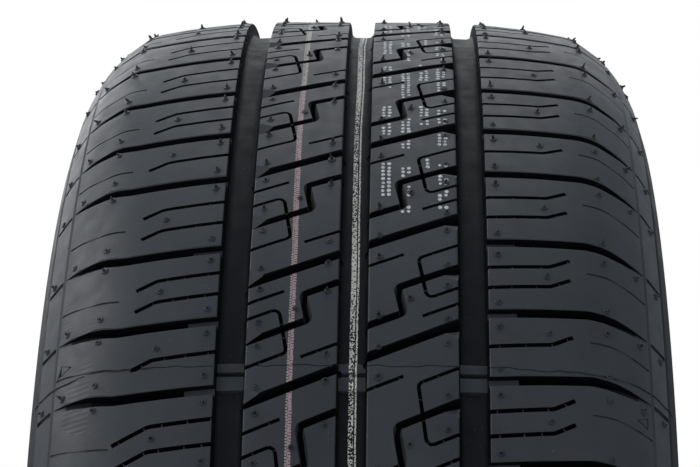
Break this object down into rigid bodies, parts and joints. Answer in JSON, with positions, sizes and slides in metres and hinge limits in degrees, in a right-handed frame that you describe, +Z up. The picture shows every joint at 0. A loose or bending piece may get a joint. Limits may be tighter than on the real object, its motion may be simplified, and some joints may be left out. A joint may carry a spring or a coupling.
{
  "type": "car tyre",
  "caption": "Low-profile radial car tyre with straight main grooves, slanted rib grooves and cross-cut shoulders, open at the bore for a wheel rim.",
  "frame": {"origin": "wheel centre, on the axle line midway between the beads", "axes": "+Y along the axle, +Z up, +X towards the front of the tread"},
  "size_m": [0.526, 0.201, 0.526],
  "materials": {
    "tyre": "satin moulded black rubber"
  },
  "bodies": {
    "root": {"tyre": "tyre"}
  },
  "joints": []
}
